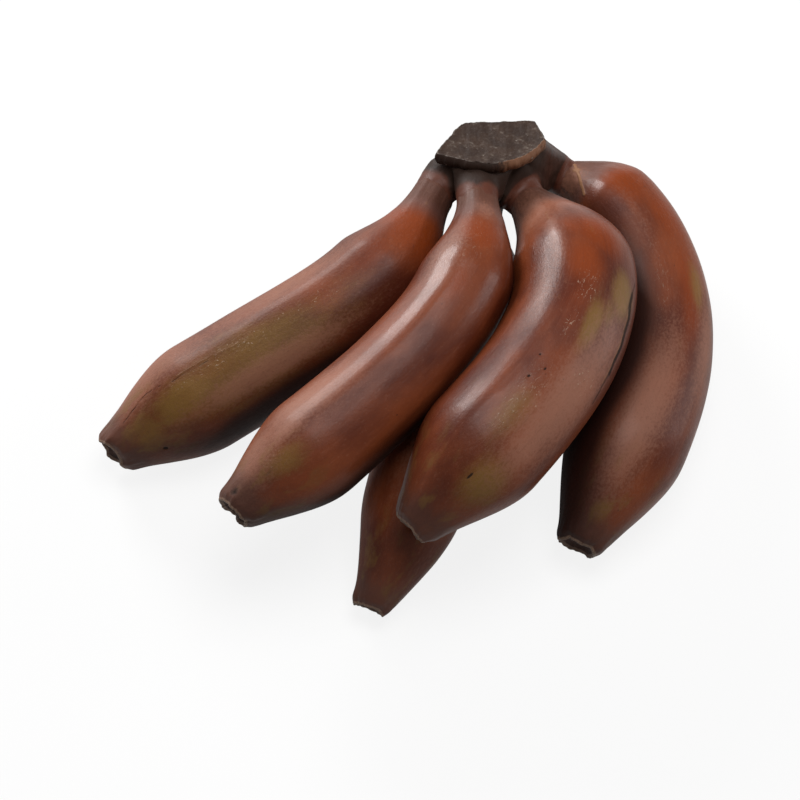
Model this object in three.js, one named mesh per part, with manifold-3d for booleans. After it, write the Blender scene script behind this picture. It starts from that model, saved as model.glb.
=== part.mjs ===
// A hand of five red bananas, still joined at the crown and lying at rest on a flat surface.
// Millimetres, +Z up. The hand rests on Z = 0, with the origin under the middle of its bounding box.

import * as THREE from 'three';
import { ConvexGeometry } from 'three/addons/geometries/ConvexGeometry.js';
import { mergeVertices } from 'three/addons/utils/BufferGeometryUtils.js';
import Module from 'manifold-3d';

// Driving dimensions shared by all bananas.
const PEDICEL_RADIUS = 6.7;
const STUB_LENGTH = 9; // the part of each pedicel that belongs to the crown
const JOINT_GAP = 0.3; // between a stub and its banana
const RIDGE_COUNT = 5; // a banana's section has five soft ridges
const RIDGE_HEIGHT = 0.02; // as a share of the radius
const RING_COUNT = 38;
const RING_POINTS = 24;
const STATION_SPREAD = 0.77; // below 1, the turns crowd towards the crown
const PINCH = 1.1; // 0 ends a banana in a plain rounded cone, and 2 narrows it to a short nozzle

// Each banana leaves the crown at `start` and is `length` long. `turns` holds its heading (from +X
// towards +Y) and its slope, in degrees, at five stations from the crown to the tip. `neck` is how
// long it stays a thin pedicel, `shoulder` how long it takes to swell to `radius`, and `taper` how
// long it takes to narrow to `tip`. A positive `fullness` puts the thickest place nearer the tip.
const BANANAS = {
  banana_left: {
    start: [15, 74.2, 40],
    turns: [[-125.5, 2.5], [-117, -8.5], [-145.5, -10], [-152.5, -15], [-146.5, -11.5]],
    length: 154, radius: 18.6, neck: 11, shoulder: 36, taper: 36, tip: 7.4, fullness: 0.12,
  },
  banana_second: {
    start: [24.2, 65.7, 46.4],
    turns: [[-86, 17], [-96.5, 4], [-123.5, -1.5], [-136.5, -3.5], [-142, -8]],
    length: 156, radius: 16.8, neck: 9, shoulder: 36, taper: 35, tip: 7, fullness: 0.22,
  },
  banana_front: {
    start: [38.2, 72, 36],
    turns: [[-59, 5], [-64, 13], [-104, 7], [-128, -0.5], [-134, -22]],
    length: 160, radius: 20.6, neck: 4, shoulder: 44, taper: 37, tip: 7.3, fullness: 0.04,
  },
  banana_back: {
    start: [49.6, 88.4, 19.6],
    turns: [[-13.5, 9], [-51, -3.5], [-84, -1], [-111.5, 1.5], [-118, -19.5]],
    length: 166, radius: 19, neck: 5.8, shoulder: 22.8, taper: 40.6, tip: 7.6, fullness: 0.24,
  },
  banana_under: {
    start: [27, 78.6, 26.2],
    turns: [[-86, -24], [-96, -9], [-109, 0], [-102, -2], [-120, -20]],
    length: 162, radius: 16.8, neck: 11, shoulder: 29, taper: 40, tip: 6, fullness: -0.05,
  },
};

// The crown is cut across the top. `face` is the outline of the cut, in its own plane: X to the
// right, Y towards the back. `root` is how far the crown reaches round the start of each pedicel.
const CROWN = {
  centre: [29, 79, 52],
  tilt: 23, // degrees that the cut face leans back
  face: [
    [-19, -6], [-12.5, 7.5], [-9.5, 14], [4, 14.5], [16, 15.5], [19, 3],
    [13.5, -6], [8, -10.5], [0, -13], [-7, -11.5], [-13, -8.5],
  ],
  lip: 3,
  waist: 0.9, // the crown's width just below the lip, as a share of the cut face
  root: 7.4,
};

const { clamp, degToRad, smoothstep } = THREE.MathUtils;

function radiusAt(banana, distance) {
  const body = banana.radius * (1 + banana.fullness * (distance / banana.length - 0.55));
  const swell = smoothstep(distance, banana.neck, banana.neck + banana.shoulder);
  const inward = clamp((banana.length - distance) / banana.taper, 0, 1);
  const narrowing = (1 - inward) ** 2 * (1 + PINCH * inward);
  return PEDICEL_RADIUS + (body - PEDICEL_RADIUS) * swell - (body - banana.tip) * narrowing;
}

// The direction along the banana, with one direction across it that stays level and one that points up.
function directionsAt(curve, along) {
  const turn = curve.getPoint(along ** STATION_SPREAD);
  const heading = degToRad(turn.x);
  const slope = degToRad(turn.y);
  const forward = new THREE.Vector3(
    Math.cos(slope) * Math.cos(heading),
    Math.cos(slope) * Math.sin(heading),
    Math.sin(slope),
  );
  const level = new THREE.Vector3(-Math.sin(heading), Math.cos(heading), 0);
  return { forward, level, up: forward.clone().cross(level) };
}

// Stations one ring apart, found by walking along the centre line in short straight steps.
function stations(banana, from, to, count) {
  const curve = new THREE.SplineCurve(banana.turns.map(([heading, slope]) => new THREE.Vector2(heading, slope)));
  const steps = 20;
  const point = new THREE.Vector3(...banana.start);
  const list = [];
  let walked = 0;
  for (let i = 0; i <= count; i += 1) {
    const goal = from + ((to - from) * i) / count;
    const step = (goal - walked) / steps;
    for (let k = 0; k < steps; k += 1) {
      const middle = walked + step / 2;
      point.addScaledVector(directionsAt(curve, middle / banana.length).forward, step);
      walked += step;
    }
    const directions = directionsAt(curve, goal / banana.length);
    list.push({ centre: point.clone(), radius: radiusAt(banana, goal), ...directions });
  }
  return list;
}

function ringPoints({ centre, radius, level, up }, ridgeHeight) {
  const points = [];
  for (let k = 0; k < RING_POINTS; k += 1) {
    const angle = (2 * Math.PI * k) / RING_POINTS;
    const reach = radius * (1 + ridgeHeight * Math.cos(RIDGE_COUNT * angle));
    const point = centre.clone();
    point.addScaledVector(level, reach * Math.cos(angle));
    point.addScaledVector(up, reach * Math.sin(angle));
    points.push(point);
  }
  return points;
}

// A closed body through a list of rings, with a flat cap on each end. What would reach below the
// surface that the hand lies on is pressed flat.
function loft(rings) {
  const points = rings.flat();
  const lastRing = points.length - RING_POINTS;
  const middleOf = (ring) => ring.reduce((sum, p) => sum.add(p), new THREE.Vector3()).divideScalar(ring.length);
  const first = points.push(middleOf(rings[0])) - 1;
  const last = points.push(middleOf(rings.at(-1))) - 1;
  const index = [];
  for (let k = 0; k < RING_POINTS; k += 1) {
    const next = (k + 1) % RING_POINTS;
    index.push(first, next, k);
    index.push(last, lastRing + k, lastRing + next);
    for (let base = 0; base < lastRing; base += RING_POINTS) {
      index.push(base + k, base + next, base + RING_POINTS + next);
      index.push(base + k, base + RING_POINTS + next, base + RING_POINTS + k);
    }
  }
  const flat = points.flatMap((p) => [p.x, p.y, Math.max(p.z, 0)]);
  const geometry = new THREE.BufferGeometry();
  geometry.setAttribute('position', new THREE.Float32BufferAttribute(flat, 3));
  geometry.setIndex(index);
  return geometry;
}

function bananaGeometry(banana) {
  const list = stations(banana, STUB_LENGTH + JOINT_GAP, banana.length, RING_COUNT);
  return loft(list.map((station) => ringPoints(station, RIDGE_HEIGHT)));
}

function stubGeometry(banana) {
  return loft(stations(banana, 0, STUB_LENGTH, 3).map((station) => ringPoints(station, 0)));
}

// The outline of the cut face, scaled about its middle and sunk `depth` below it.
function facePoints(scale, depth) {
  const place = new THREE.Matrix4()
    .makeRotationX(-degToRad(CROWN.tilt))
    .setPosition(...CROWN.centre);
  return CROWN.face.map(([x, y]) => new THREE.Vector3(x * scale, y * scale, -depth).applyMatrix4(place));
}

function rootPoints(banana) {
  const ball = mergeVertices(new THREE.IcosahedronGeometry(CROWN.root, 1).deleteAttribute('normal').deleteAttribute('uv'));
  ball.translate(...banana.start);
  const position = ball.getAttribute('position');
  return Array.from({ length: position.count }, (_, i) => new THREE.Vector3().fromBufferAttribute(position, i));
}

const wasm = await Module();
wasm.setup();

function toSolid(geometry) {
  const bare = geometry.clone();
  bare.deleteAttribute('normal');
  bare.deleteAttribute('uv');
  const merged = mergeVertices(bare, 1e-4);
  return new wasm.Manifold(new wasm.Mesh({
    numProp: 3,
    vertProperties: new Float32Array(merged.getAttribute('position').array),
    triVerts: new Uint32Array(merged.getIndex().array),
  }));
}

function toGeometry(solid) {
  const mesh = solid.getMesh();
  const geometry = new THREE.BufferGeometry();
  geometry.setAttribute('position', new THREE.BufferAttribute(mesh.vertProperties, 3));
  geometry.setIndex(new THREE.BufferAttribute(mesh.triVerts, 1));
  return geometry;
}

// The crown: a lip round the cut face, a woody body that reaches down to the pedicels, and the stubs.
function crownGeometry() {
  const lip = new ConvexGeometry([...facePoints(1, 0), ...facePoints(1, CROWN.lip)]);
  const roots = Object.values(BANANAS).flatMap(rootPoints);
  const body = new ConvexGeometry([...facePoints(CROWN.waist, CROWN.lip / 2), ...roots]);
  const parts = [lip, body, ...Object.values(BANANAS).map(stubGeometry)];
  return toGeometry(parts.map(toSolid).reduce((sum, solid) => sum.add(solid)));
}

const WOOD = new THREE.MeshStandardMaterial({ color: '#3b2f2b', roughness: 0.85, metalness: 0 });
const PEEL = new THREE.MeshStandardMaterial({ color: '#6b3226', roughness: 0.45, metalness: 0 });

function namedMesh(name, geometry, material) {
  geometry.computeVertexNormals();
  const mesh = new THREE.Mesh(geometry, material.clone());
  mesh.name = name;
  return mesh;
}

// Everything stands on Z = 0 already, so the hand only moves sideways to bring its middle over the origin.
function buildHand() {
  const hand = new THREE.Group();
  hand.add(namedMesh('crown', crownGeometry(), WOOD));
  for (const [name, banana] of Object.entries(BANANAS)) {
    hand.add(namedMesh(name, bananaGeometry(banana), PEEL));
  }
  const middle = new THREE.Box3().setFromObject(hand).getCenter(new THREE.Vector3());
  hand.position.set(-middle.x, -middle.y, 0);
  return hand;
}

export default buildHand();
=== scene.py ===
"""A hand of five red bananas, joined at the crown and lying on a pale floor.

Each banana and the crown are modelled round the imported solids, which give every place and size.
Lengths in the code are in millimetres until a mesh, lamp or camera is made from them.
"""

import math
from collections import namedtuple

import bmesh
import bpy
import numpy as np
from bpy.props import FloatProperty, FloatVectorProperty, IntProperty, PointerProperty
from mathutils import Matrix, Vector


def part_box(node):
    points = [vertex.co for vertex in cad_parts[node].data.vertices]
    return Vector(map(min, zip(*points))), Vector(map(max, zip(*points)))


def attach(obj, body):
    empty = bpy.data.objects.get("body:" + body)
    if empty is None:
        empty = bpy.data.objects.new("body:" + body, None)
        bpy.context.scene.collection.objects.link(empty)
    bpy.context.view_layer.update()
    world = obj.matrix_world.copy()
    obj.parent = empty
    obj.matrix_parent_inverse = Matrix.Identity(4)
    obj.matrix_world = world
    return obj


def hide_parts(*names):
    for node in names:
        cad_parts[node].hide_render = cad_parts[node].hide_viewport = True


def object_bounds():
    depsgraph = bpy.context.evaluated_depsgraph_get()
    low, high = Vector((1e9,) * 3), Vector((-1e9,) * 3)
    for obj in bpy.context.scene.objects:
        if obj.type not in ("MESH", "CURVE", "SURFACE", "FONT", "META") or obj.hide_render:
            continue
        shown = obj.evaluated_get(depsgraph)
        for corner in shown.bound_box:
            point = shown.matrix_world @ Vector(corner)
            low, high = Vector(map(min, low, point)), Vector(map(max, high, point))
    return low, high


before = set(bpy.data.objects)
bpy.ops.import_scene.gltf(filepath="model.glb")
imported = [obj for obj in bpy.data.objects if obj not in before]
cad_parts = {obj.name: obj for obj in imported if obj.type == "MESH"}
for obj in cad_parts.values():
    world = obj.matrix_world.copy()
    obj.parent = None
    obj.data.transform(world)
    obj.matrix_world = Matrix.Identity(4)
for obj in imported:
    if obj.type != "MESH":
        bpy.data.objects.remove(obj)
CAD_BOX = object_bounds()

bl_info = {
    "name": "Hand of Red Bananas",
    "version": (1, 0, 0),
    "blender": (4, 5, 0),
    "location": "View3D > Sidebar > Bananas",
    "description": "Models and finishes a hand of red bananas, and sets up the stage round it",
    "category": "Object",
}

MM = 0.001  # metres in a millimetre
BODY = "root"
PEEL_SLOT = "red_peel"
CROWN_SLOT = "crown_wood"
CROWN_NODE = "crown"

# How one banana differs from the next: where its five ridges run near the crown, how far they drift
# round it by the time they reach the tip, the lean of its blossom end, and its marks, by kind.
# A patch is (along, around, half-length, half-width, strength), and a line is (half-width, strength)
# and the places (along, around) that it passes. `along` is measured from the crown's edge in
# millimetres, and `around` in degrees from the level side (0) over the top (90).
Banana = namedtuple("Banana", "ridges drift lean seed patches lines")

BANANAS = {}
BANANAS["banana_left"] = Banana(
    ridges=(66, 112, 185, 258, 335), drift=-17, lean=(-0.1, -0.06), seed=3,
    patches=dict(
        orange=(
            (15, 118, 8, 16, 1), (20, 70, 14, 13, 0.8), (36, 92, 16, 7, 0.6), (58, 80, 9, 7, 0.7),
            (92, 74, 14, 5, 0.35), (108, 34, 20, 5, 0.35),
        ),
        olive=(
            (92, 66, 50, 15, 0.75), (112, 68, 18, 8, 1), (130, 58, 9, 9, 0.8), (86, 78, 14, 5, 0.6),
            (98, 30, 20, 4, 0.5),
        ),
        # partly waxy bloom, partly painted sheen along the upper and lower sides
        dust=(
            (68, 128, 42, 9, 0.8), (118, 124, 30, 10, 0.9), (84, 50, 30, 5, 1.2), (112, 50, 18, 3, 0.5),
        ),
        scar=((128.5, 24, 0.9, 0.8, 1),),
        cork=((8.5, 77, 1.6, 1.2, 0.4),),
        speck=((96, 86, 20, 4, 0.9), (62, 88, 14, 5, 0.5)),
        # painted shadow on the side that the second banana shades
        shade=((70, 2, 60, 9, 1.3),),
        dull=((70, 120, 90, 45, 1),),
        swell=((12, 15, 12, 12, 0.9),),
    ),
    lines=dict(
        scar=((0.4, 0.55, (100, 88.5), (114, 89.5)), (0.35, 0.55, (118, 95), (124, 101), (136, 97))),
        cork=(
            (0.4, 0.42, (86, 86), (94, 90), (101, 91.5), (112, 92)),
            (0.4, 0.42, (119, 99), (126, 103.5), (134, 100)),
        ),
    ),
)
BANANAS["banana_second"] = Banana(
    ridges=(30, 100, 172, 246, 318), drift=-5, lean=(-0.1, 0.02), seed=11,
    patches=dict(
        orange=((22, 76, 8, 9, 1), (34, 55, 16, 12, 0.5), (44, 84, 9, 4, 0.7), (115, 70, 16, 7, 0.3)),
        olive=((126, 78, 9, 5, 0.8),),
        # partly waxy bloom, partly painted sheen on the left side and the lower half
        dust=(
            (34, 118, 18, 7, 0.7), (108, 118, 26, 9, 0.9), (10, 72, 6, 4, 0.6), (134, 118, 14, 10, 1.1),
            (118, 106, 18, 5, 0.9),
        ),
        scar=((143, 103, 2, 2.5, 0.5), (131, 79, 5, 1.2, 0.35)),
        cork=((129, 88, 7, 3.5, 0.36), (10.5, 54, 0.9, 1, 0.4)),
        speck=((129, 86, 7, 6, 0.4), (28, 90, 18, 9, 0.4)),
        # painted shadow on the side that the front banana shades
        shade=((90, -22, 65, 10, 1.3),),
        dull=((105, 105, 50, 30, 0.8),),
        swell=((12, 0, 12, 10, 0.5),),
    ),
    lines=dict(
        cork=((0.8, 0.3, (26.5, 62), (29, 74)),),
    ),
)
BANANAS["banana_front"] = Banana(
    ridges=(25, 108, 176, 246, 316), drift=-9, lean=(0.0, -0.05), seed=23,
    patches=dict(
        orange=(
            (36, 62, 9, 11, 1), (48, 84, 12, 9, 0.8), (34, 88, 8, 8, 0.6), (62, 84, 18, 6, 0.5),
            (86, 70, 16, 5, 0.5),
        ),
        olive=(
            (69, 62, 11, 4, 1), (54, 40, 9, 6, 1), (62, 50, 7, 4, 0.7), (127, 46, 10, 9, 0.9),
            (108, 74, 14, 7, 0.6), (60, 62, 14, 4, 0.4),
        ),
        # partly waxy bloom, partly painted highlight on the neck and the lit left side, and painted sheen
        # on the lower right
        dust=(
            (94, 42, 34, 10, 1.1), (80, 44, 16, 8, 0.9), (108, 42, 20, 8, 1), (14, 120, 14, 12, 0.8),
            (8, 118, 5, 5, 0.8), (60, 118, 30, 6, 0.5), (40, 112, 22, 4, 0.6),
        ),
        scar=(
            (91, 77, 0.6, 0.4, 1), (96, 84, 0.5, 0.4, 1), (88, 88, 0.4, 0.4, 1), (128, 62, 1.4, 0.5, 0.9),
        ),
        speck=(
            (57, 79, 7, 4, 1), (73, 79, 7, 2.5, 1), (85, 42, 4, 5, 1), (100, 76, 11, 5, 1),
            (110, 74, 9, 5, 0.8),
        ),
        dull=((105, 48, 45, 20, 1), (92, 114, 24, 12, 1)),
        swell=((20, 180, 15, 14, 1.4),),
    ),
    lines=dict(
        scar=(
            (1.15, 0.66, (51, 27), (54, 28), (58, 24.5), (63, 24.5), (67, 21.5), (72, 22), (76, 19)),
            (0.8, 0.55, (47, 24), (52, 28), (56, 29)), (0.7, 0.55, (75, 20), (80, 19), (86, 15)),
        ),
        cork=(
            (0.9, 0.5, (58, 27.5), (70, 24.5), (80, 22)),
            (0.7, 0.42, (19.5, 104), (22, 107.5), (26, 109)),
        ),
    ),
)
BANANAS["banana_back"] = Banana(
    ridges=(38, 108, 180, 250, 322), drift=-12, lean=(0.0, -0.1), seed=37,
    patches=dict(
        orange=(
            (18, 74, 12, 12, 0.9), (34, 54, 16, 8, 0.8), (66, 58, 26, 5, 0.8), (100, 66, 24, 7, 0.4),
        ),
        olive=((62, 48, 10, 3.5, 0.9), (145, 74, 5, 4, 0.8)),
        # partly waxy bloom, partly painted sheen along the middle
        dust=((112, 80, 34, 9, 1.1), (82, 34, 26, 6, 0.9), (3, 118, 6, 7, 0.9), (40, 94, 26, 6, 0.35)),
        cork=((2.5, 92, 1.6, 1.2, 0.9),),
        speck=((60, 90, 26, 4, 0.5),),
        # painted shadow that the front banana casts on the left side
        shade=((92, 162, 62, 18, 2.4), (140, 186, 26, 9, 1.8)),
        dull=((110, 85, 50, 25, 0.8),),
    ),
    lines=dict(
        cork=((0.6, 0.9, (0.5, 70), (2.5, 90), (5, 106), (8, 126), (12, 146)),),
    ),
)
BANANAS["banana_under"] = Banana(
    ridges=(20, 92, 165, 238, 310), drift=-10, lean=(-0.1, 0.0), seed=51,
    patches=dict(
        orange=((24, 80, 12, 12, 0.8), (60, 110, 24, 8, 0.4)),
        olive=((105, 60, 20, 9, 0.7),),
        dust=((80, 100, 40, 8, 0.7),),
        speck=((70, 70, 20, 6, 0.6),),
        dull=((90, 90, 80, 40, 0.5),),
    ),
    lines=dict(
        scar=((0.8, 1, (86, 20), (99, 17)),),
    ),
)

# The masks that the peel's mesh carries, three to an attribute. Only the mesh uses `swell`. The bloom
# masks are partly waxy bloom and partly painted sheen, and the shade masks are painted shadow.
LAYERS = {
    "tint": ("orange", "olive", "dust"),
    "flaws": ("scar", "cork", "speck"),
    "wear": ("shade", "dull", "swell"),
}

# The necks and the peel.
NECK_INSET = 9.3  # how far each neck reaches into the crown
NECK_TUCK = 1.2  # how far its skin dives below the crown's
NECK_END = 13.0  # where the neck's dull skin turns into ripe peel
RIDGE_SOFTNESS = 6.0  # degrees over which a ridge is rounded
SEED_STEP = 7.3  # gives each banana noise of its own
CORK_HEIGHT = 0.22
SCAR_DEPTH = 0.14
PRESS = 0.15  # height below which the peel is pressed flat

# The blossom end.
TIP_ZONE = 11.0  # length with finer rings
TIP_ROWS = 40
TIP_SKIN = 38.0  # length over which the peel takes the tip's colour
ROLLED = 0.1  # how far the peel rolls in, as a share of its radius
ROLL_ZONE = 3.2  # length over which it does
LEAN_ZONE = 5.0  # length over which the rings lean and grow ragged
BLOSSOM_PROFILE = (  # share of the tip's radius, height as a share of the recess, mask
    (0.975, 0.1, 1.0), (0.94, 0.15, 1.0), (0.9, 0.12, 1.0), (0.86, -0.02, 1.1), (0.8, -0.3, 1.35),
    (0.72, -0.62, 2.0), (0.62, -0.84, 2.0), (0.5, -0.96, 2.0), (0.38, -0.98, 2.0), (0.24, -0.9, 2.0),
    (0.1, -0.85, 2.0),
)

# The crown.
COLLAR = (  # place along the neck, radius
    (-10.0, 7.6), (-7.0, 7.5), (-4.0, 7.2), (-1.0, 6.95), (2.0, 6.75), (5.0, 6.35),
)
WING_NECK = 3  # the neck that the crown's right side runs into
WING_START = 8.0  # how far right of the middle that side begins
WING_RING = (-2.0, 7.0)  # place along that neck, radius
LONG_NECKS = (2, 3)  # the necks whose skin reaches furthest up
BESIDE_NECK = 12.0  # how much further back places beside a neck count
CREASE_DEPTH = 1.5
CREASE_WIDTH = 2.2
SMOOTHING = 14  # rounds
CORNER_CUT = 0.06  # share of each side that rounding a corner takes
RIM_POINTS = 320
FACE_ROWS = 60
SIDE_ROWS = 18

SPECULAR = 0.2  # specular level of peel and crown

# The stage.
WHITE = (1.0, 1.0, 1.0)
SHEEN = 0.3  # how much of the white background the peel reflects
FLOOR_SIZE = 6000.0
FLOOR_DROP = 0.2  # keeps the floor clear of the peel
FLOOR_WHITENESS = 0.86
CAMERA_TARGET = (-3.3, -15.8, 26.0)
SENSOR = 36.0
SOFTBOXES = {  # size, place and target, in metres
    "key": ((0.36, 0.42), (-0.46, 0.78, 0.4), (-0.01, 0.0, 0.03)),
    "top": ((0.5, 0.5), (0.12, 0.1, 0.9), (0.0, 0.0, 0.03)),
    "side": ((0.25, 0.6), (0.85, 0.15, 0.25), (0.0, 0.0, 0.03)),
}


# ---- Sizes and colours that a user would change ----


def colour(name, description, code):
    """A colour property whose default is written as a hex code."""
    channels = [int(code[i:i + 2], 16) / 255 for i in (0, 2, 4)]
    linear = [c / 12.92 if c <= 0.04045 else ((c + 0.055) / 1.055) ** 2.4 for c in channels]
    return FloatVectorProperty(
        name=name, description=description, subtype="COLOR", size=3, min=0.0, max=1.0, default=linear,
    )


def length(name, description, millimetres):
    return FloatProperty(
        name=name, description=description, default=millimetres * MM, min=0.0, unit="LENGTH", precision=5,
    )


def power(name, description, watts):
    return FloatProperty(name=name, description=description, default=watts, min=0.0, unit="POWER")


class PeelSettings(bpy.types.PropertyGroup):
    """Shape and colours of the bananas' peel."""

    rows: IntProperty(
        name="Rows", description="Rings of the mesh along a banana", default=390, min=40, max=600,
    )
    columns: IntProperty(
        name="Columns", description="Points of the mesh round a banana", default=192, min=24, max=300,
    )
    facet: FloatProperty(
        name="Facets", description="How flat the sides between the ridges are", default=0.2,
        min=0.0, max=1.0, subtype="FACTOR",
    )
    lump: length("Lumps", "Height of the peel's broad unevenness", 0.3)
    wrinkle: length("Wrinkles", "Height of the lengthwise wrinkles at both ends", 0.28)
    recess: length("Blossom recess", "How deep the dried blossom end is sunk", 2.2)
    main: colour("Main", "Red-brown of the ripe peel", "8a4524")
    deep: colour("Deep", "Darker maroon that mottles the peel", "4e1e0f")
    orange: colour("Orange", "Rust orange of the shoulders", "7e3202")
    olive: colour("Olive", "Olive brown of the less ripe places", "80602c")
    # Waxy bloom, and painted sheen where the patches lay it over the sides and necks.
    dust: colour("Bloom", "Waxy bloom on the upper sides", "a3715c")
    neck: colour("Neck", "Grey-brown skin of the neck", "64433a")
    stalk: colour("Stalk", "Darker skin where the neck leaves the crown", "553427")
    tip: colour("Tip", "Purple-grey skin next to the blossom end", "4f352d")
    # Painted shadow: near-black colour laid on the sides that a neighbouring banana shades.
    shade: colour("Shaded side", "Near-black sides that face a neighbour", "1c0602")
    scar: colour("Scar", "Black bruised lines", "1d1512")
    cork: colour("Cork", "Tan corky cracks", "8a6142")
    rim: colour("Dry rim", "Pale, dry rim of the blossom end", "8c7361")
    blossom: colour("Blossom end", "Dried centre of the blossom end", "4a2a20")
    speck: colour("Specks", "Pale specks and scratches", "b39a83")


class CrownSettings(bpy.types.PropertyGroup):
    """Shape and colours of the crown."""

    voxel: length("Voxel", "Size of the voxels that join the crown's body", 0.5)
    lip: length("Lip", "Thickness of the cut rim", 4.3)
    root: length("Root", "Radius of the crown round the start of each neck", 7.3)
    waist: FloatProperty(
        name="Waist", description="Width of the crown below the rim, as a share of the cut face",
        default=0.86, min=0.5, max=1.0, subtype="FACTOR",
    )
    hollow: length("Hollow", "How far the middle of the cut face is sunk", 0.7)
    face: colour("Cut face", "Dried cut face", "38271d")
    # Also laid as painted shade below the rim and in the creases between necks.
    dark: colour("Dark grain", "Darker grain of the cut face", "2a1b13")
    rim: colour("Rim", "Bark of the rim", "2c1c15")
    fibre: colour("Fibre", "Torn fibres of the rim", "7a543d")
    skin: colour("Skin", "Skin of the crown above the necks", "4d2d23")
    neck: colour("Neck", "Skin where the necks start", "5a3225")
    bloom: colour("Bloom", "Greyish bloom on that skin", "6b524a")
    speck: colour("Specks", "Pale specks of dried sap", "9a9086")


class StageSettings(bpy.types.PropertyGroup):
    """Floor, lamps and camera."""

    floor: colour("Floor", "Pale floor", "bdbab6")
    key: power("Key", "Softbox behind, on the left", 9.0)
    top: power("Top", "Softbox overhead", 5.0)
    side: power("Side", "Strip light on the right", 2.2)
    room: FloatProperty(
        name="Room", description="Strength of the light from all round", default=0.08, min=0.0,
    )
    elevation: FloatProperty(
        name="Elevation", description="How steeply the camera looks down", default=math.radians(60.0),
        min=0.0, max=math.radians(90.0), subtype="ANGLE",
    )
    distance: length("Distance", "From the camera to the hand", 900.0)
    field: length("Field", "Width that the camera sees at that distance", 266.7)


# ---- Shader expressions ----


def socket_of(sockets, key):
    """The socket with this index, identifier or name."""
    identified = {socket.identifier: socket for socket in sockets}
    return identified[key] if key in identified else sockets[key]


class Value:
    """A shader socket that can be used in Python arithmetic."""

    def __init__(self, tree, socket):
        self.tree = tree
        self.socket = socket

    def node(self, kind, sockets, output=0, **settings):
        """Adds a node: its settings are set first, then the values or links of its sockets."""
        made = self.tree.nodes.new("ShaderNode" + kind)
        for name, value in settings.items():
            setattr(made, name, value)
        for key, value in sockets.items():
            target = socket_of(made.inputs, key)
            if isinstance(value, Value):
                self.tree.links.new(value.socket, target)
            else:
                target.default_value = (*value, 1.0) if target.type == "RGBA" else value
        return Value(self.tree, socket_of(made.outputs, output) if len(made.outputs) else None)

    def math(self, operation, *values):
        return self.node("Math", dict(enumerate(values)), operation=operation)

    def __add__(self, other):
        return self.math("ADD", self, other)

    def __sub__(self, other):
        return self.math("SUBTRACT", self, other)

    def __rsub__(self, other):
        return self.math("SUBTRACT", other, self)

    def __mul__(self, other):
        return self.math("MULTIPLY", self, other)

    __radd__ = __add__
    __rmul__ = __mul__

    def step(self, low, high):
        """0 below `low`, 1 above `high`, and smooth between."""
        sockets = {"Value": self, "From Min": low, "From Max": high}
        return self.node("MapRange", sockets, interpolation_type="SMOOTHSTEP")

    def parts(self, axes="XYZ"):
        """This vector's values along these axes."""
        return [self.node("SeparateXYZ", {"Vector": self}, axis) for axis in axes]

    def stretch(self, x=1.0, y=1.0, z=1.0):
        """A vector, multiplied axis by axis."""
        return self.node("VectorMath", {0: self, 1: (x, y, z)}, operation="MULTIPLY")

    def noise(self, scale, detail=2.0, roughness=0.5, distortion=0.0):
        """Noise from 0 to 1 at the places that this vector gives."""
        sockets = {"Vector": self, "Scale": scale, "Detail": detail, "Roughness": roughness}
        return self.node("TexNoise", {**sockets, "Distortion": distortion}, "Fac")

    def spots(self, scale, low, high):
        """1 close to any of many scattered points, and 0 further off."""
        return 1 - self.node("TexVoronoi", {"Vector": self, "Scale": scale}, "Distance").step(low, high)

    def coats(self, base, *coats):
        """A base colour with others laid over it in turn, each by its own amount."""
        for tint, amount in coats:
            sockets = {"Factor_Float": amount, "A_Color": base, "B_Color": tint}
            base = self.node("Mix", sockets, "Result_Color", data_type="RGBA")
        return base


def new_material(name):
    """A material with an empty node tree, and a value to start its expressions from."""
    material = bpy.data.materials.new(name)
    material.use_nodes = True
    material.node_tree.nodes.clear()
    return material, Value(material.node_tree, None)


def finish_material(start, bump, sockets):
    """Ends the node tree with a Principled shader that takes this bump and these sockets."""
    normal = start.node("Bump", bump)
    shader = start.node("BsdfPrincipled", {"Specular IOR Level": SPECULAR, "Normal": normal, **sockets})
    start.node("OutputMaterial", {"Surface": shader})


def attribute(start, name):
    """A vector that the mesh carries at its points."""
    return start.node("Attribute", {}, "Vector", attribute_name=name)


# ---- Finishes ----


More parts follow.
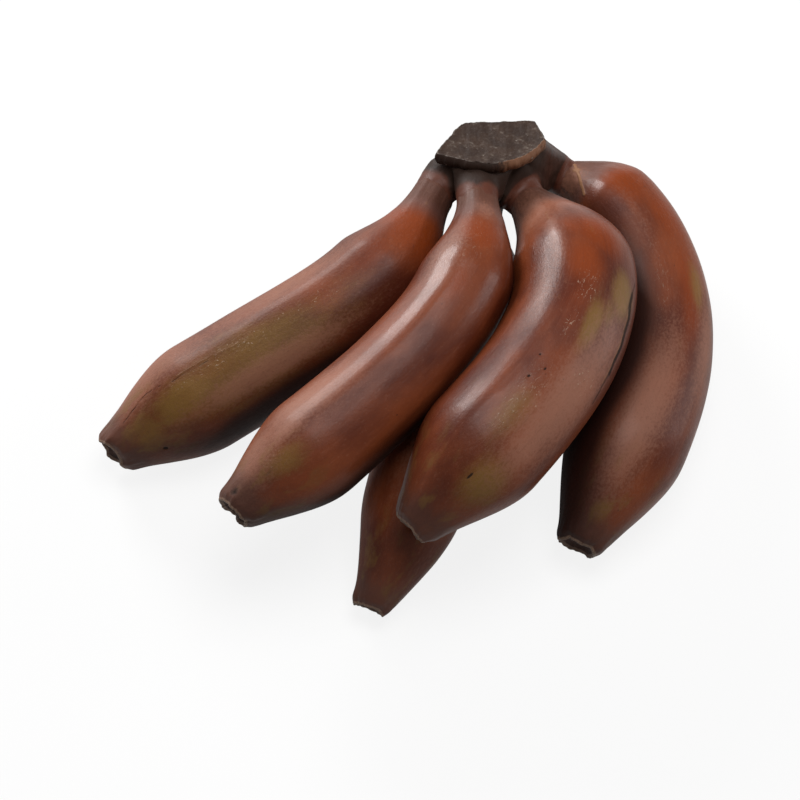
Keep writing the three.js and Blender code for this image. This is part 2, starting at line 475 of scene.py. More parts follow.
def peel_material(peel):
    """Mottled red-brown peel with a waxy bloom and painted sheen, painted shadow on the sides that face a
    neighbour, and the marks that the mesh carries.
    """
    material, start = new_material(PEEL_SLOT)
    chart = attribute(start, "chart")
    orange, olive, dust = attribute(start, "tint").parts()
    scar, cork, speck = attribute(start, "flaws").parts()
    neck, tip, blossom = attribute(start, "ends").parts()
    shade, dull = attribute(start, "wear").parts("XY")

    # Noise from broad to fine, drawn out along the banana.
    cloud = chart.stretch(0.5).noise(0.045, 4.0, 0.55)
    mottle = chart.stretch(0.45).noise(0.16, 4.0, 0.6)
    thread = chart.stretch(0.35).noise(0.7, 1.0, 0.5, 0.6)
    streak = chart.stretch(0.06).noise(0.9, 3.0, 0.6)
    grit = chart.stretch(0.8).noise(1.1, 4.0, 0.7)
    grain = chart.stretch(0.5).noise(1.6, 3.0, 0.6)
    ragged = (mottle - 0.5) * 0.9 + (grain - 0.5) * 0.5

    # Pale specks, scratches where the thread noise crosses its middle, and dark dots.
    specks = chart.spots(0.55, 0.07, 0.2) * (speck + 0.12) * mottle.step(0.42, 0.6)
    scratch = (1 - start.math("ABSOLUTE", thread - 0.5).step(0.004, 0.014)) * (speck + 0.05)
    pale = (specks + scratch * grain.step(0.4, 0.6)).step(0.1, 0.8)
    dots = chart.stretch(0.6).spots(0.23, 0.03, 0.07) * cloud.step(0.45, 0.6)
    cork = (cork + ragged * 0.35).step(0.25, 0.6)
    scar = (scar + ragged * 0.6).step(0.25, 0.6)
    hollow = blossom.step(1.2, 1.5)
    rim = blossom.step(0.25, 0.8) * (1 - hollow)

    base = start.coats(
        peel.deep,
        (peel.main, cloud.step(0.32, 0.66) * 0.75),
        (peel.deep, mottle.step(0.55, 0.8) * 0.35),
        (peel.orange, (orange + ragged * 0.45).step(0.15, 0.95) * 0.85),
        (peel.olive, (olive + ragged * 0.6).step(0.2, 0.9) * 0.75),
        (peel.olive, mottle.step(0.62, 0.82) * streak.step(0.4, 0.7) * 0.3),
        (peel.neck, (neck + ragged * 0.3).step(0.2, 0.9) * 0.95),
        (peel.stalk, (neck + (streak - 0.5) * 0.3).step(0.8, 1.05) * 0.8),
        # Waxy bloom, partly painted sheen where the patches stand in for highlights.
        (peel.dust, (dust + ragged * 0.4 + (grit - 0.5) * 1.5).step(0.1, 1.1) * 0.66),
        (peel.deep, streak.step(0.58, 0.82) * 0.3),
        (peel.dust, streak.step(0.45, 0.2) * 0.12),
        (peel.deep, grit.step(0.5, 0.75) * 0.3),
        (peel.dust, grit.step(0.45, 0.25) * 0.16),
        (peel.tip, (tip + ragged * 0.6).step(0.15, 0.9) * 0.75),
        (peel.olive, (tip * (1 - tip) * 4.0 * mottle.step(0.5, 0.65)) * 0.35),
        (peel.speck, pale * 0.65),
        (peel.scar, dots * 0.6),
        # Painted shadow on the sides that a neighbour shades.
        (peel.shade, (shade + ragged * 0.15).step(0.1, 0.95) * 0.94),
        (peel.cork, cork * 0.8),
        (peel.scar, scar * 0.9),
        (peel.rim, rim * grain.step(0.25, 0.55) * 0.8),
        (peel.blossom, hollow * 0.95),
        (peel.scar, hollow * mottle.step(0.4, 0.6) * 0.7),
    )

    withered = neck * 0.14 + neck.step(0.5, 1.0) * 0.4 + tip * 0.12
    dry = (withered + scar * 0.2 + cork * 0.3 + hollow * 0.35).step(-0.4, 0.6)
    roughness = 0.29 + (mottle - 0.5) * 0.1 + (grit - 0.5) * 0.22
    roughness += dull * 0.14 + dust * 0.08 + dry * 0.2 + scar * 0.3 + shade * 0.2
    coat = (1 - dry) * (1 - dull * 0.8) * (1 - scar) * (1 - shade * 0.8) * cloud.step(0.25, 0.6) * 0.42
    height = streak * 0.35 + grain * 0.25 + grit * (dull * 0.35 + 0.4)
    height += cork * 0.6 - scar * 0.5 + pale * 0.25
    bump = {"Strength": 0.6, "Distance": 0.00034, "Height": height}
    finish_material(start, bump, {
        "Base Color": base, "Roughness": roughness, "Coat Weight": coat, "Coat Roughness": 0.2,
    })
    return material


def crown_material(crown):
    """Dried, dark cut face with pale specks, barky rim and dull skin, with painted shade below the rim
    and in the creases.
    """
    material, start = new_material(CROWN_SLOT)
    chart = attribute(start, "chart")
    face, rim, fibre = attribute(start, "bark").parts()
    collar, crease, under = attribute(start, "skin").parts()

    cloud = chart.noise(0.14, 3.0, 0.55)
    mottle = chart.noise(0.55, 4.0, 0.6)
    streak = chart.stretch(y=0.12).noise(0.9, 3.0, 0.55)
    grain = chart.stretch(z=0.12).noise(1.3, 3.0, 0.6)
    pores = chart.noise(3.2, 2.0, 0.6)
    specks = chart.spots(0.5, 0.04, 0.2) * mottle.step(0.46, 0.58)
    crumbs = chart.spots(0.3, 0.04, 0.18) * mottle.step(0.5, 0.6)
    torn = (fibre + (grain - 0.5) * 0.9).step(0.2, 0.8)
    chipped = (face * (1 - face) * 4).step(0.4, 1.0) * mottle.step(0.4, 0.6)

    cut = start.coats(
        crown.dark,
        (crown.face, cloud.step(0.35, 0.65)),
        (crown.dark, streak.step(0.5, 0.75) * 0.45),
        (crown.speck, mottle.step(0.5, 0.8) * cloud.step(0.4, 0.6) * 0.3),
        (crown.speck, specks * 0.45),
    )
    skin = start.coats(
        crown.rim,
        (crown.skin, cloud.step(0.25, 0.75) * 0.6),
        (crown.neck, (collar + (mottle - 0.5) * 0.5).step(0.2, 0.8)),
        (crown.rim, grain.step(0.5, 0.8) * 0.35),
        (crown.bloom, mottle.step(0.45, 0.8) * 0.25),
        # Painted shade below the rim.
        (crown.dark, (under + (mottle - 0.5) * 0.5).step(0.1, 0.9) * 0.85),
        # Painted shade in the creases between necks.
        (crown.dark, crease.step(0.1, 0.7) * 0.9),
    )
    edge = start.coats(
        crown.dark,
        (crown.rim, mottle.step(0.3, 0.6)),
        (crown.fibre, torn * 0.95),
        (crown.rim, torn * mottle.step(0.55, 0.7) * 0.5),
        (crown.speck, crumbs * 0.6),
    )
    base = start.coats(
        skin,
        (edge, (rim + (mottle - 0.5) * 0.5).step(0.3, 0.7)),
        (cut, face.step(0.3, 0.7)),
        (crown.speck, chipped * 0.35),
    )

    bare = (1 - rim) * (1 - face)
    roughness = 0.62 + (mottle - 0.5) * 0.2 + specks * 0.1 - bare * 0.12
    roughness += crease * 0.3 + under * 0.15 - collar * 0.05
    height = grain * (0.65 - bare * 0.5) + mottle * (0.5 - bare * 0.25)
    height += pores * 0.15 + specks * 0.5 * face
    bump = {"Strength": 0.5, "Distance": 0.0004, "Height": height}
    finish_material(start, bump, {"Base Color": base, "Roughness": roughness})
    return material


def sight_of_white(start):
    """1 for the rays that see the white background, and a share of that for reflections."""
    kinds = ("Camera", "Glossy", "Transmission")
    camera, glossy, through = (start.node("LightPath", {}, f"Is {kind} Ray") for kind in kinds)
    return start.math("MAXIMUM", start.math("MAXIMUM", camera, glossy * SHEEN), through)


def floor_material(stage):
    """Pale floor that looks white to the camera and still takes the hand's shadow."""
    material, start = new_material("pale_floor")
    seen = sight_of_white(start)
    tint = start.coats(stage.floor, (WHITE, seen))
    plain = start.node("BsdfDiffuse", {"Color": tint})
    white = start.node("Emission", {"Color": WHITE, "Strength": 1.0})
    mixed = start.node("MixShader", {0: seen * FLOOR_WHITENESS, 1: plain, 2: white})
    start.node("OutputMaterial", {"Surface": mixed})
    return material


# ---- Places and noise ----


def unit(vectors):
    return vectors / np.linalg.norm(vectors, axis=-1, keepdims=True)


def ease(value, low, high):
    """0 at `low`, 1 at `high`, and smooth between; the ends may be either way round."""
    t = np.clip((value - low) / (high - low), 0.0, 1.0)
    return t * t * (3.0 - 2.0 * t)


def noise(points, size, seed):
    """Smooth noise from -1 to 1 with lumps of about `size`, the same on each run."""
    cells = 32
    lattice = np.random.default_rng(seed).uniform(-1.0, 1.0, (cells, cells, cells))
    scaled = points / size
    corner = np.floor(scaled).astype(int)
    t = scaled - corner
    t = t * t * (3.0 - 2.0 * t)
    total = np.zeros(points.shape[:-1])
    for step in np.ndindex(2, 2, 2):
        weight = np.prod(np.where(step, t, 1.0 - t), axis=-1)
        i, j, k = np.moveaxis((corner + step) % cells, -1, 0)
        total += weight * lattice[i, j, k]
    return total


def layered(points, size, seed, layers=3):
    """Noise with finer noise of half the height added, layer by layer."""
    return sum(noise(points, size / 2**n, seed + n) / 2**n for n in range(layers))


def sample(values, position):
    """Rows of values at fractional row positions, on a smooth curve through the rows."""
    last = len(values) - 1
    cell = np.clip(position.astype(int), 0, last - 1)
    t = (position - cell).reshape(-1, *[1] * (values.ndim - 1))
    before, start, end, after = (values[np.clip(cell + k, 0, last)] for k in (-1, 0, 1, 2))
    cubic = 3.0 * (start - end) + after - before
    square = 2.0 * before - 5.0 * start + 4.0 * end - after
    return start + 0.5 * t * (end - before + t * (square + t * cubic))


def turned_from(around, angle):
    """How far each angle is turned from another one, between -180 and 180 degrees."""
    return (around - angle + 180.0) % 360.0 - 180.0


def rows_from(items, key, columns, kind=float):
    """One row for each item of a mesh."""
    values = np.empty(len(items) * columns, dtype=kind)
    items.foreach_get(key, values)
    return values.reshape(-1, columns)


def welded(node):
    """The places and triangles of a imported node, with the vertices that share a place joined."""
    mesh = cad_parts[node].data
    mesh.calc_loop_triangles()
    places = rows_from(mesh.vertices, "co", 3) / MM
    triangles = rows_from(mesh.loop_triangles, "vertices", 3, int)
    _, first, same = np.unique(np.round(places, 3), axis=0, return_index=True, return_inverse=True)
    return places[first], same.reshape(-1)[triangles]


def rings_of(node):
    """The rings of points that a packed banana is made of, from the crown to the tip."""
    places, triangles = welded(node)
    neighbours = [set() for _ in places]
    for triangle in triangles:
        for point in triangle:
            neighbours[point].update(triangle)
    poles = sorted(range(len(places)), key=lambda i: len(neighbours[i]))[-2:]
    low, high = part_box(CROWN_NODE)
    crown = np.array((low + high) / 2.0) / MM
    ring = {min(poles, key=lambda i: np.linalg.norm(places[i] - crown))}
    seen = set(ring)
    rings = []
    while len(seen) < len(places) - 1:
        ring = set().union(*(neighbours[i] for i in ring)) - seen
        seen |= ring
        rings.append(places[sorted(ring)])
    if len({len(ring) for ring in rings}) != 1:
        raise RuntimeError(f"{node} isn't made of equal rings")
    return rings


Spine = namedtuple("Spine", "centre radius level lift forward distance")


def spine_of(node):
    """Centre, radius and directions of each ring. `level` stays level and `lift` points up."""
    rings = np.array(rings_of(node))
    middle = rings.mean(1)
    forward = unit(np.gradient(middle, axis=0))
    level = unit(np.cross((0.0, 0.0, 1.0), forward))
    lift = np.cross(forward, level)
    offsets = rings - middle[:, None]
    across, above = (np.einsum("rpx,rx->rp", offsets, way) for way in (level, lift))
    turns = np.degrees(np.arctan2(above, across))
    each = np.arange(len(rings))
    side, top, far = (rings[each, np.abs(turned_from(turns, goal)).argmin(1)] for goal in (0, 90, 180))
    radius = np.linalg.norm(side - far, axis=1) / 2.0
    level = unit(side - far)
    rise = top - (side + far) / 2.0
    lift = unit(rise - (rise * level).sum(1, keepdims=True) * level)
    centre = top - radius[:, None] * lift
    gaps = np.linalg.norm(np.diff(centre, axis=0), axis=1)
    distance = np.concatenate(([0.0], np.cumsum(gaps)))
    return Spine(centre, radius, level, lift, np.cross(level, lift), distance)


def extended(spine, reach):
    """A spine that starts `reach` further back, inside the crown."""
    steps = np.array([-1.0, -0.5]) * reach
    ahead = spine.centre[0] + steps[:, None] * spine.forward[0]
    rest = [np.concatenate((np.repeat(values[:1], len(steps), 0), values)) for values in spine[1:5]]
    return Spine(np.concatenate((ahead, spine.centre)), *rest, np.concatenate((steps, spine.distance)))


# ---- Meshes ----


def mesh_from(name, places, faces, attributes):
    """A smooth-shaded mesh in metres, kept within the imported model's box, with its point attributes."""
    mesh = bpy.data.meshes.new(name)
    mesh.from_pydata(np.clip(places * MM, *CAD_BOX).tolist(), [], faces)
    for key, values in attributes.items():
        layer = mesh.attributes.new(key, "FLOAT_VECTOR", "POINT")
        layer.data.foreach_set("vector", np.ascontiguousarray(values, dtype=np.float32).ravel())
    mesh.shade_smooth()
    mesh.update()
    return mesh


def tube_faces(rows, columns):
    """Faces of a tube of rings, closed with a point at each end; the end points come last."""
    index = np.arange(rows * columns).reshape(rows, columns)
    turned = np.roll(index, -1, axis=1)
    quads = np.stack((index[:-1], turned[:-1], turned[1:], index[1:]), axis=-1).reshape(-1, 4)
    first, last = rows * columns, rows * columns + 1
    start = [(first, b, a) for a, b in zip(index[0].tolist(), turned[0].tolist())]
    end = [(last, a, b) for a, b in zip(index[-1].tolist(), turned[-1].tolist())]
    return quads.tolist() + start + end


def with_ends(grid):
    """A grid's rows in one list, followed by the middles of its first and last rows."""
    return np.concatenate((grid.reshape(-1, grid.shape[-1]), grid[:1].mean(1), grid[-1:].mean(1)))


def add_object(name, data):
    """Puts a mesh, lamp or camera in the scene."""
    made = bpy.data.objects.new(name, data)
    bpy.context.scene.collection.objects.link(made)
    return made


def place_piece(mesh, material, slot, *nodes):
    """Puts a piece in the scene under its mesh's name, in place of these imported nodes."""
    piece = add_object(mesh.name, mesh)
    mesh.materials.append(material)
    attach(piece, BODY)
    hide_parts(*nodes)
    return piece


# ---- Bananas ----


def facets(ridges):
    """How far a section with flat sides between its ridges departs from a circle, by the degree."""
    degrees = np.arange(360.0)
    reach = np.zeros(360)
    for start, end in zip(ridges, (*ridges[1:], ridges[0] + 360)):
        half = math.radians(end - start) / 2.0
        from_middle = np.radians(turned_from(degrees, (start + end) / 2.0))
        inside = np.abs(from_middle) <= half
        reach[inside] = math.cos(half) / np.cos(from_middle[inside])
    blur = np.exp(-((turned_from(degrees, 0.0) / RIDGE_SOFTNESS) ** 2))
    reach = np.fft.irfft(np.fft.rfft(reach) * np.fft.rfft(blur / blur.sum()), 360)
    return reach - reach.mean()


def distance_to_line(x, y, points):
    """Distance from each place to a line through these points; each row of places has one x."""
    best = np.full(y.shape, np.inf)
    for (ax, ay), (bx, by) in zip(points, points[1:]):
        dx, dy = bx - ax, by - ay
        t = np.clip(((x - ax) * dx + (y - ay) * dy) / (dx * dx + dy * dy), 0.0, 1.0)
        best = np.minimum(best, np.hypot(x - ax - t * dx, y - ay - t * dy))
    return best


def paint(banana, kind, along, around, radius):
    """A mask of all marks of one kind. Round the banana, angles are turned into lengths of peel."""
    mask = np.zeros((len(along), len(around)))
    arc = np.radians(1.0) * radius
    for place, angle, half_length, half_width, strength in banana.patches.get(kind, ()):
        beside = turned_from(around, angle) * arc
        away = np.hypot((along - place) / half_length, beside / half_width)
        mask = np.maximum(mask, strength * np.exp(-away * away))
    for half_width, strength, *points in banana.lines.get(kind, ()):
        middle = sum(angle for _, angle in points) / len(points)
        first_arc = float(np.interp(points[0][0], along[:, 0], arc[:, 0]))
        path = [(place, (angle - middle) * first_arc) for place, angle in points]
        beside = turned_from(around, middle) * arc
        away = distance_to_line(along, beside, path) / half_width
        mask = np.maximum(mask, strength * np.exp(-away * away))
    return mask


def peel_reach(banana, peel, chart, along, around, radius, neck, tip):
    """Distance from a banana's middle line to its faceted, lumpy and wrinkled peel."""
    end = along[-1]
    drifted = (around - banana.drift * np.clip(along / end, 0.0, 1.0)) % 360.0
    shape = facets(banana.ridges)
    flat = np.interp(drifted, np.arange(361.0), np.append(shape, shape[0]))
    swing = peel.facet * (1.0 + 0.9 * neck + 0.7 * tip) * (1.0 + 0.3 * noise(chart, 40.0, banana.seed))
    inside = ease(along, 0.5, -3.5)
    reach = radius * (1.0 + swing * flat * (1.0 - inside)) - NECK_TUCK * inside

    lumps = layered(chart * (0.6, 1, 1), 26.0, banana.seed)
    lumps = lumps + 0.22 * noise(chart * (0.4, 1, 1), 5.0, banana.seed + 5)
    wrinkles = layered(chart * (0.12, 1, 1), 2.6, banana.seed + 9, 2)
    wrinkles = wrinkles * (0.08 + 0.75 * neck + 0.9 * tip)
    reach = reach + (peel.lump * lumps + peel.wrinkle * wrinkles) / MM
    rolled = ROLLED + 0.09 * noise(chart * (0, 1, 1), 5.2, banana.seed + 19)
    return reach * (1.0 - rolled * ease(along, end - ROLL_ZONE, end) ** 2)


def blossom_end(section, end, recess, seed, centre, spokes, forward, shift):
    """Rings that close a banana, over its rim and down into the dried hollow, with their charts."""
    rings, charts = [], []
    for share, height, _ in BLOSSOM_PROFILE:
        inner = section * share
        level = np.full(len(inner), share)
        rough = noise(np.column_stack((inner, level)), 1.3, seed)
        rise = shift * share + height * recess + 0.35 * rough * (1.0 - share)
        rings.append(centre + spokes * share + rise[:, None] * forward)
        charts.append(np.column_stack((end + 3.0 * (1.0 - level), inner)))
    return rings, charts


def banana_mesh(node, banana, peel):
    """One banana: faceted and wrinkled peel, with a ragged, sunken blossom end."""
    spine = extended(spine_of(node), NECK_INSET)
    end = spine.distance[-1]
    bare = end - TIP_ZONE
    along = np.concatenate((
        np.linspace(spine.distance[0], bare, peel.rows - TIP_ROWS, endpoint=False),
        np.linspace(bare, end, TIP_ROWS),
    ))
    position = np.interp(along, spine.distance, np.arange(len(spine.distance)))
    centre, radius, level, lift, forward = (sample(values, position) for values in spine[:5])
    around = np.arange(peel.columns) * 360.0 / peel.columns
    cosine, sine = np.cos(np.radians(around)), np.sin(np.radians(around))
    along, radius = along[:, None], radius[:, None]

    # Places on the straightened banana, for noise that runs round it without a seam.
    chart = np.stack(np.broadcast_arrays(along, radius * cosine, radius * sine), axis=-1)
    chart = chart + banana.seed * SEED_STEP
    section = chart * (0, 1, 1)
    kinds = [kind for layer in LAYERS.values() for kind in layer]
    masks = {kind: paint(banana, kind, along, around, radius) for kind in kinds}
    neck = ease(along, NECK_END * 1.6, NECK_END * 0.3)
    tip = ease(along, end - TIP_ZONE * 1.15, end - 2.0)

    reach = peel_reach(banana, peel, chart, along, around, radius, neck, tip)
    pits = 0.05 * masks["speck"] * noise(chart, 1.4, banana.seed + 7)
    reach = reach + masks["swell"] + CORK_HEIGHT * masks["cork"] - SCAR_DEPTH * masks["scar"] - pits
    outward = cosine[:, None] * level[:, None] + sine[:, None] * lift[:, None]
    lean = radius * (banana.lean[0] * cosine + banana.lean[1] * sine)
    burr = noise(section, 4.6, banana.seed + 13) + 0.3 * noise(section, 1.3, banana.seed + 17)
    shift = (lean + burr) * ease(along, end - LEAN_ZONE, end)
    grid = centre[:, None] + reach[..., None] * outward + shift[..., None] * forward[:, None]

    rings, charts = blossom_end(
        chart[-1, :, 1:], end, peel.recess / MM, banana.seed + 21,
        centre[-1], reach[-1][:, None] * outward[-1], forward[-1], shift[-1],
    )
    grid = np.concatenate((grid, rings))
    chart = np.concatenate((chart, charts))

    def with_hollow(values, inner=0.0):
        """Values for the peel's rings, followed by those of the blossom end's rings."""
        inner = np.ones((len(rings), peel.columns)) * inner
        return np.concatenate((values * np.ones(peel.columns), inner))

    hue = 0.5 * tip + 0.5 * ease(along, end - TIP_SKIN, end - 4.0)
    depths = np.array([mask for _, _, mask in BLOSSOM_PROFILE])[:, None]
    rim = ease(along, end - 1.2, end)
    ends = (with_hollow(neck), with_hollow(hue, 1.0), with_hollow(rim, depths))
    layers = {"chart": chart, "ends": np.stack(ends, axis=-1)}
    for layer, kinds in LAYERS.items():
        layers[layer] = np.stack([with_hollow(masks[kind]) for kind in kinds], axis=-1)
    places = with_ends(grid)
    pressed = PRESS * np.exp((places[:, 2] - PRESS) / PRESS)
    places[:, 2] = np.where(places[:, 2] < PRESS, pressed, places[:, 2])
    layers = {key: with_ends(values) for key, values in layers.items()}
    return mesh_from(node + "_peel", places, tube_faces(len(grid), peel.columns), layers)


# ---- Crown ----


def cut_face():
    """The cut face: its corners in order, its middle, and its directions (right, back, out)."""
    places, triangles = welded(CROWN_NODE)
    a, b, c = (places[triangles[:, k]] for k in range(3))
    doubled = np.cross(b - a, c - a)
    areas = np.linalg.norm(doubled, axis=1)
    sound = areas > 1e-6
    normals = np.round(doubled[sound] / areas[sound, None], 2)
    kinds, same = np.unique(normals, axis=0, return_inverse=True)
    sizes = np.bincount(same.reshape(-1), areas[sound])
    sizes[kinds[:, 2] < 0.7] = 0.0
    chosen = np.flatnonzero(sound)[same.reshape(-1) == sizes.argmax()]
    out = unit(doubled[chosen].sum(0))
    heights = places @ out
    corners = places[np.abs(heights - heights[triangles[chosen]].max()) < 0.05]
    middle = corners.mean(0)
    right = unit(np.array((1.0, 0.0, 0.0)) - out[0] * out)
    back = np.cross(out, right)
    flat = (corners - middle) @ np.array((right, back)).T
    order = np.argsort(np.arctan2(flat[:, 1], flat[:, 0]))
    return flat[order], middle, np.array((right, back, out))


def smooth_outline(corners, count, rounds=2):
    """A closed outline with its corners rounded, as `count` evenly spaced points."""
    for _ in range(rounds):
        following = np.roll(corners, -1, axis=0)
        ends = [corners * (1.0 - cut) + following * cut for cut in (CORNER_CUT, 1.0 - CORNER_CUT)]
        corners = np.stack(ends, axis=1).reshape(-1, 2)
    loop = np.concatenate((corners, corners[:1]))
    walked = np.concatenate(([0.0], np.cumsum(np.linalg.norm(np.diff(loop, axis=0), axis=1))))
    goal = np.arange(count) / count * walked[-1]
    return np.column_stack([np.interp(goal, walked, loop[:, axis]) for axis in range(2)])


def rim_mesh(crown):
    """The cut face with its barky rim: a ragged slab with a sunken top."""
    corners, middle, axes = cut_face()
    outline = smooth_outline(corners, RIM_POINTS)
    outward = unit(outline - outline.mean(0))
    lip, hollow = crown.lip / MM, crown.hollow / MM

    def ring(places, height):
        return np.column_stack((places, np.broadcast_to(height, RIM_POINTS)))

    flat = ring(outline, 0.0)
    ragged = 0.25 * noise(flat, 3.4, 61) + 0.15 * noise(flat, 1.1, 62)
    underside = 0.35 * noise(flat, 2.2, 73)
    rows, masks = [], []
    for share in np.linspace(0.02, 0.96, FACE_ROWS):
        spread = ring(outline * share, 0.0)
        saw_marks = 0.16 * layered(spread * (1, 0.25, 1), 3.0, 63) + 0.05 * noise(spread, 0.8, 66)
        rows.append(ring(outline * share, saw_marks - hollow * (1.0 - share**4)))
        masks.append((1.0, 0.0))
    for share in np.linspace(0.0, 1.0, SIDE_ROWS):
        bulge = 0.6 * math.sin(math.pi * share) - 0.5 * share**3 - 0.35 * (1.0 - share) ** 6
        side = ring(outline, -lip * share)
        fibrous = 0.22 * noise(side * (1, 1, 0.25), 1.3, 71)
        fibrous = fibrous + 0.12 * noise(side * (1, 1, 0.3), 0.6, 72)
        bulged = outline + outward * (ragged + bulge + fibrous)[:, None]
        rows.append(ring(bulged, underside * share - lip * share))
        masks.append((0.5 * (share < 0.05), 1.0))
    rows.append(ring(outline * 0.8, -lip))
    masks.append((0.0, 1.0))

    grid = np.array(rows)
    places = with_ends(grid)
    fibre = ease(grid[..., 0], -4.0, 8.0) * ease(grid[..., 1], 8.0, 2.0)
    bark = np.concatenate((np.repeat(np.array(masks)[:, None], RIM_POINTS, 1), fibre[..., None]), axis=-1)
    faces = [face[::-1] for face in tube_faces(len(grid), RIM_POINTS)]
    layers = {"chart": places, "bark": with_ends(bark)}
    return mesh_from("crown_rim", middle + places @ axes, faces, layers)


def shell(bm, points):
    """Adds the tight skin round some points."""
    made = [bm.verts.new(point) for point in points]
    hull = bmesh.ops.convex_hull(bm, input=made)
    spare = (*hull["geom_interior"], *hull["geom_unused"])
    loose = {item for item in spare if isinstance(item, bmesh.types.BMVert)}
    bmesh.ops.delete(bm, geom=list(loose), context="VERTS")


def ring_round(spine, place, radius, count=32):
    """Points round the start of a neck; `place` is measured from the crown's edge."""
    turns = np.arange(count) * 2.0 * math.pi / count
    centre = spine.centre[0] + place * spine.forward[0]
    spokes = np.column_stack((np.cos(turns), np.sin(turns))) @ (spine.level[0], spine.lift[0])
    return centre + radius * spokes


def smoothed(places, edges, rounds):
    """Places moved half of the way to the mean of their neighbours, time after time."""
    count = np.bincount(edges.ravel(), minlength=len(places))[:, None]
    for _ in range(rounds):
        total = np.zeros_like(places)
        for axis in range(3):
            total[:, axis] = np.bincount(edges[:, 0], places[edges[:, 1], axis], len(places))
            total[:, axis] += np.bincount(edges[:, 1], places[edges[:, 0], axis], len(places))
        places = places + 0.5 * (total / count - places)
    return places


def crown_shells(crown, spines, starts):
    """Overlapping shells: the crown under its rim, its wing, and a collar round each neck."""
    corners, middle, axes = cut_face()
    root = crown.root / MM
    waist = np.column_stack((corners * crown.waist, np.full(len(corners), -crown.lip / MM)))
    wing = waist[waist[:, 0] > WING_START] * (1.12, 1.12, 0.6)
    bm = bmesh.new()
    shell(bm, np.concatenate((middle + waist @ axes, *(ball_points(start, root) for start in starts))))
    for spine in spines:
        shell(bm, np.concatenate([ring_round(spine, place, radius) for place, radius in COLLAR]))
    wing_end = (ring_round(spines[WING_NECK], *WING_RING), ball_points(starts[WING_NECK], root))
    shell(bm, np.concatenate((middle + wing @ axes, *wing_end)))
    return bm


def joined(bm, voxel):
    """One mesh round all of the shells, made of voxels of this size."""
    rough = bpy.data.meshes.new("crown_rough")
    bm.to_mesh(rough)
    bm.free()
    solid = add_object("crown_rough", rough)
    joiner = solid.modifiers.new("joiner", "REMESH")
    joiner.mode = "VOXEL"
    joiner.voxel_size = voxel
    mesh = bpy.data.meshes.new_from_object(solid.evaluated_get(bpy.context.evaluated_depsgraph_get()))
    bpy.data.objects.remove(solid)
    return mesh


def crown_body_mesh(crown):
    """The crown below its rim: a lumpy body that runs out in a collar round each neck."""
    _, middle, axes = cut_face()
    spines = [spine_of(node) for node in BANANAS]
    starts = np.array([spine.centre[0] - NECK_INSET * spine.forward[0] for spine in spines])
    mesh = joined(crown_shells(crown, spines, starts), crown.voxel / MM)
    places = rows_from(mesh.vertices, "co", 3)
    normals = rows_from(mesh.vertices, "normal", 3)
    edges = rows_from(mesh.edges, "vertices", 2, int)
    faces = [tuple(face.vertices) for face in mesh.polygons]
    bpy.data.meshes.remove(mesh)

    places = smoothed(places, edges, SMOOTHING)
    local = (places - middle) @ axes.T
    right, back, depth = local[:, 0], local[:, 1], -local[:, 2]

    # Creases between neighbouring necks, skin that the necks carry up the crown, and the wing. The
    # creases and the skin below the rim also carry painted shade.
    nearest = np.sort([neck_distance(places, spine) for spine in spines], axis=0)
    crease = np.exp(-(((nearest[1] - nearest[0]) / CREASE_WIDTH) ** 2)) * ease(nearest[0], 2.0, 6.0)
    crease = crease * ease(depth, 2.0, 7.0) * ease(back, 9.0, -2.0)
    collar = np.max([
        ease(neck_place(places, spine), -14.0 if index in LONG_NECKS else -8.0, -1.0)
        for index, spine in enumerate(spines)
    ], axis=0)
    wing = 0.9 * ease(right, 15.0, 20.0) * ease(back, 14.0, 4.0) * ease(depth, 2.0, 5.0)
    collar = np.maximum(collar, wing)
    # Where painted shade falls below the rim, away from the necks.
    under = ease(depth, 16.0, 6.0) * ease(back, 12.0, 2.0) * (1.0 - collar)

    ridge = noise(local * (1, 1, 0.15), 2.4, 81)
    fine = noise(local * (1, 1, 0.25), 0.9, 82)
    push = 0.1 * ridge + 0.03 * fine + 0.3 * layered(local, 9.0, 83) - CREASE_DEPTH * crease
    places = places + normals * push[:, None]
    fibre = ease(right, -4.0, 10.0) * ease(depth, 9.0, 3.0)
    bark = np.column_stack((np.zeros(len(places)), ease(depth, 6.5, 2.5), fibre))
    # The second and third masks lay painted shade in the creases and below the rim.
    skin = np.column_stack((collar, crease * ease(depth, 30.0, 8.0), under))
    return mesh_from("crown_body", places, faces, {"chart": local, "bark": bark, "skin": skin})


def ball_points(centre, radius, count=60):
    """Points spread evenly over a ball."""
    steps = np.arange(count) + 0.5
    height = 1.0 - 2.0 * steps / count
    turn = steps * math.pi * (3.0 - math.sqrt(5.0))
    flat = np.sqrt(1.0 - height * height)
    return centre + radius * np.column_stack((flat * np.cos(turn), flat * np.sin(turn), height))


def neck_place(places, spine):
    """How far along a neck each place is, from the crown's edge; further back if it lies beside."""
    offset = places - spine.centre[0]
    along = offset @ spine.forward[0]
    beside = np.linalg.norm(offset - along[:, None] * spine.forward[0], axis=1)
    return along - BESIDE_NECK * ease(beside, 8.0, 11.0)


def neck_distance(places, spine):
    """Distance from each place to the middle line of a neck."""
    offset = places - spine.centre[0] + NECK_INSET * spine.forward[0]
    reach = np.maximum(offset @ spine.forward[0], 0.0)
    return np.linalg.norm(offset - reach[:, None] * spine.forward[0], axis=1)


# ---- Stage ----


def aim(thing, place, target):
    """Stands a lamp or camera at a place and points it at a target."""
    thing.location = place
    thing.rotation_euler = (Vector(target) - Vector(place)).to_track_quat("-Z", "Y").to_euler()


def softbox(name, power, size, place, target):
    """A rectangular area lamp."""
    data = bpy.data.lights.new(name, "AREA")
    data.shape = "RECTANGLE"
    data.size, data.size_y = size
    data.energy = power
    aim(add_object(name, data), place, target)


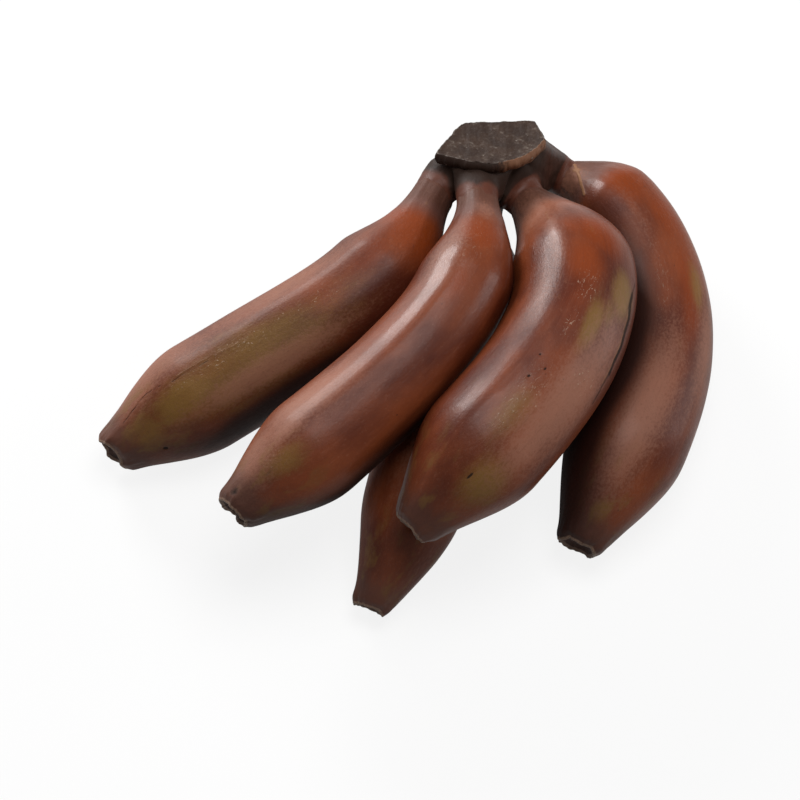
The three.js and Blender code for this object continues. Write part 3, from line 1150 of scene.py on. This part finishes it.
def build_world(stage):
    """Even, weak light from all round, seen as white by the camera."""
    world = bpy.data.worlds.new("studio")
    bpy.context.scene.world = world
    world.use_nodes = True
    world.node_tree.nodes.clear()
    start = Value(world.node_tree, None)
    strength = stage.room + sight_of_white(start) * (1.0 - stage.room)
    light = start.node("Background", {"Color": WHITE, "Strength": strength})
    start.node("OutputWorld", {"Surface": light})


def build_floor(stage):
    mesh = bpy.data.meshes.new("floor")
    half = FLOOR_SIZE * MM / 2.0
    corners = [(-half, -half, 0.0), (half, -half, 0.0), (half, half, 0.0), (-half, half, 0.0)]
    mesh.from_pydata(corners, [], [(0, 1, 2, 3)])
    mesh.materials.append(floor_material(stage))
    floor = add_object("floor", mesh)
    floor.location.z = -FLOOR_DROP * MM


def build_camera(stage):
    data = bpy.data.cameras.new("camera")
    data.sensor_width = SENSOR
    data.lens = data.sensor_width * stage.distance / stage.field
    camera = add_object("camera", data)
    bpy.context.scene.camera = camera
    toward = Vector((0.0, -math.cos(stage.elevation), math.sin(stage.elevation)))
    target = Vector(CAMERA_TARGET) * MM
    aim(camera, target + toward * stage.distance, target)


# ---- Operators and panel ----


class BuildBananas(bpy.types.Operator):
    """Model and finish the five bananas"""

    bl_idname = "hand.build_bananas"
    bl_label = "Build Bananas"

    def execute(self, context):
        peel = context.scene.hand_peel
        material = peel_material(peel)
        for node, banana in BANANAS.items():
            place_piece(banana_mesh(node, banana, peel), material, PEEL_SLOT, node)
        return {"FINISHED"}


class BuildCrown(bpy.types.Operator):
    """Model and finish the crown that joins the bananas"""

    bl_idname = "hand.build_crown"
    bl_label = "Build Crown"

    def execute(self, context):
        crown = context.scene.hand_crown
        material = crown_material(crown)
        for mesh in (crown_body_mesh(crown), rim_mesh(crown)):
            place_piece(mesh, material, CROWN_SLOT, CROWN_NODE)
        return {"FINISHED"}


class BuildStage(bpy.types.Operator):
    """Set up the floor, lamps, world and camera"""

    bl_idname = "hand.build_stage"
    bl_label = "Build Stage"

    def execute(self, context):
        stage = context.scene.hand_stage
        build_floor(stage)
        build_world(stage)
        build_camera(stage)
        for name, (size, place, target) in SOFTBOXES.items():
            softbox(name, getattr(stage, name), size, place, target)
        context.scene.view_settings.view_transform = "Standard"
        return {"FINISHED"}


class HandPanel(bpy.types.Panel):
    """Lists the steps that build the hand"""

    bl_idname = "VIEW3D_PT_hand_of_bananas"
    bl_label = "Hand of Red Bananas"
    bl_space_type = "VIEW_3D"
    bl_region_type = "UI"
    bl_category = "Bananas"

    def draw(self, context):
        for group, operator in zip(GROUPS, OPERATORS):
            box = self.layout.box()
            settings = getattr(context.scene, group)
            for name in settings.bl_rna.properties.keys():
                if name not in ("rna_type", "name"):
                    box.prop(settings, name)
            box.operator(operator.bl_idname)


GROUPS = {"hand_peel": PeelSettings, "hand_crown": CrownSettings, "hand_stage": StageSettings}
OPERATORS = (BuildBananas, BuildCrown, BuildStage)
CLASSES = (*GROUPS.values(), *OPERATORS, HandPanel)


def register():
    for each in CLASSES:
        bpy.utils.register_class(each)
    for name, group in GROUPS.items():
        setattr(bpy.types.Scene, name, PointerProperty(type=group))


def unregister():
    for name in GROUPS:
        delattr(bpy.types.Scene, name)
    for each in reversed(CLASSES):
        bpy.utils.unregister_class(each)


def main():
    register()
    bpy.ops.hand.build_bananas()
    bpy.ops.hand.build_crown()
    bpy.ops.hand.build_stage()
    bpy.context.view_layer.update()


if __name__ == "__main__":
    main()
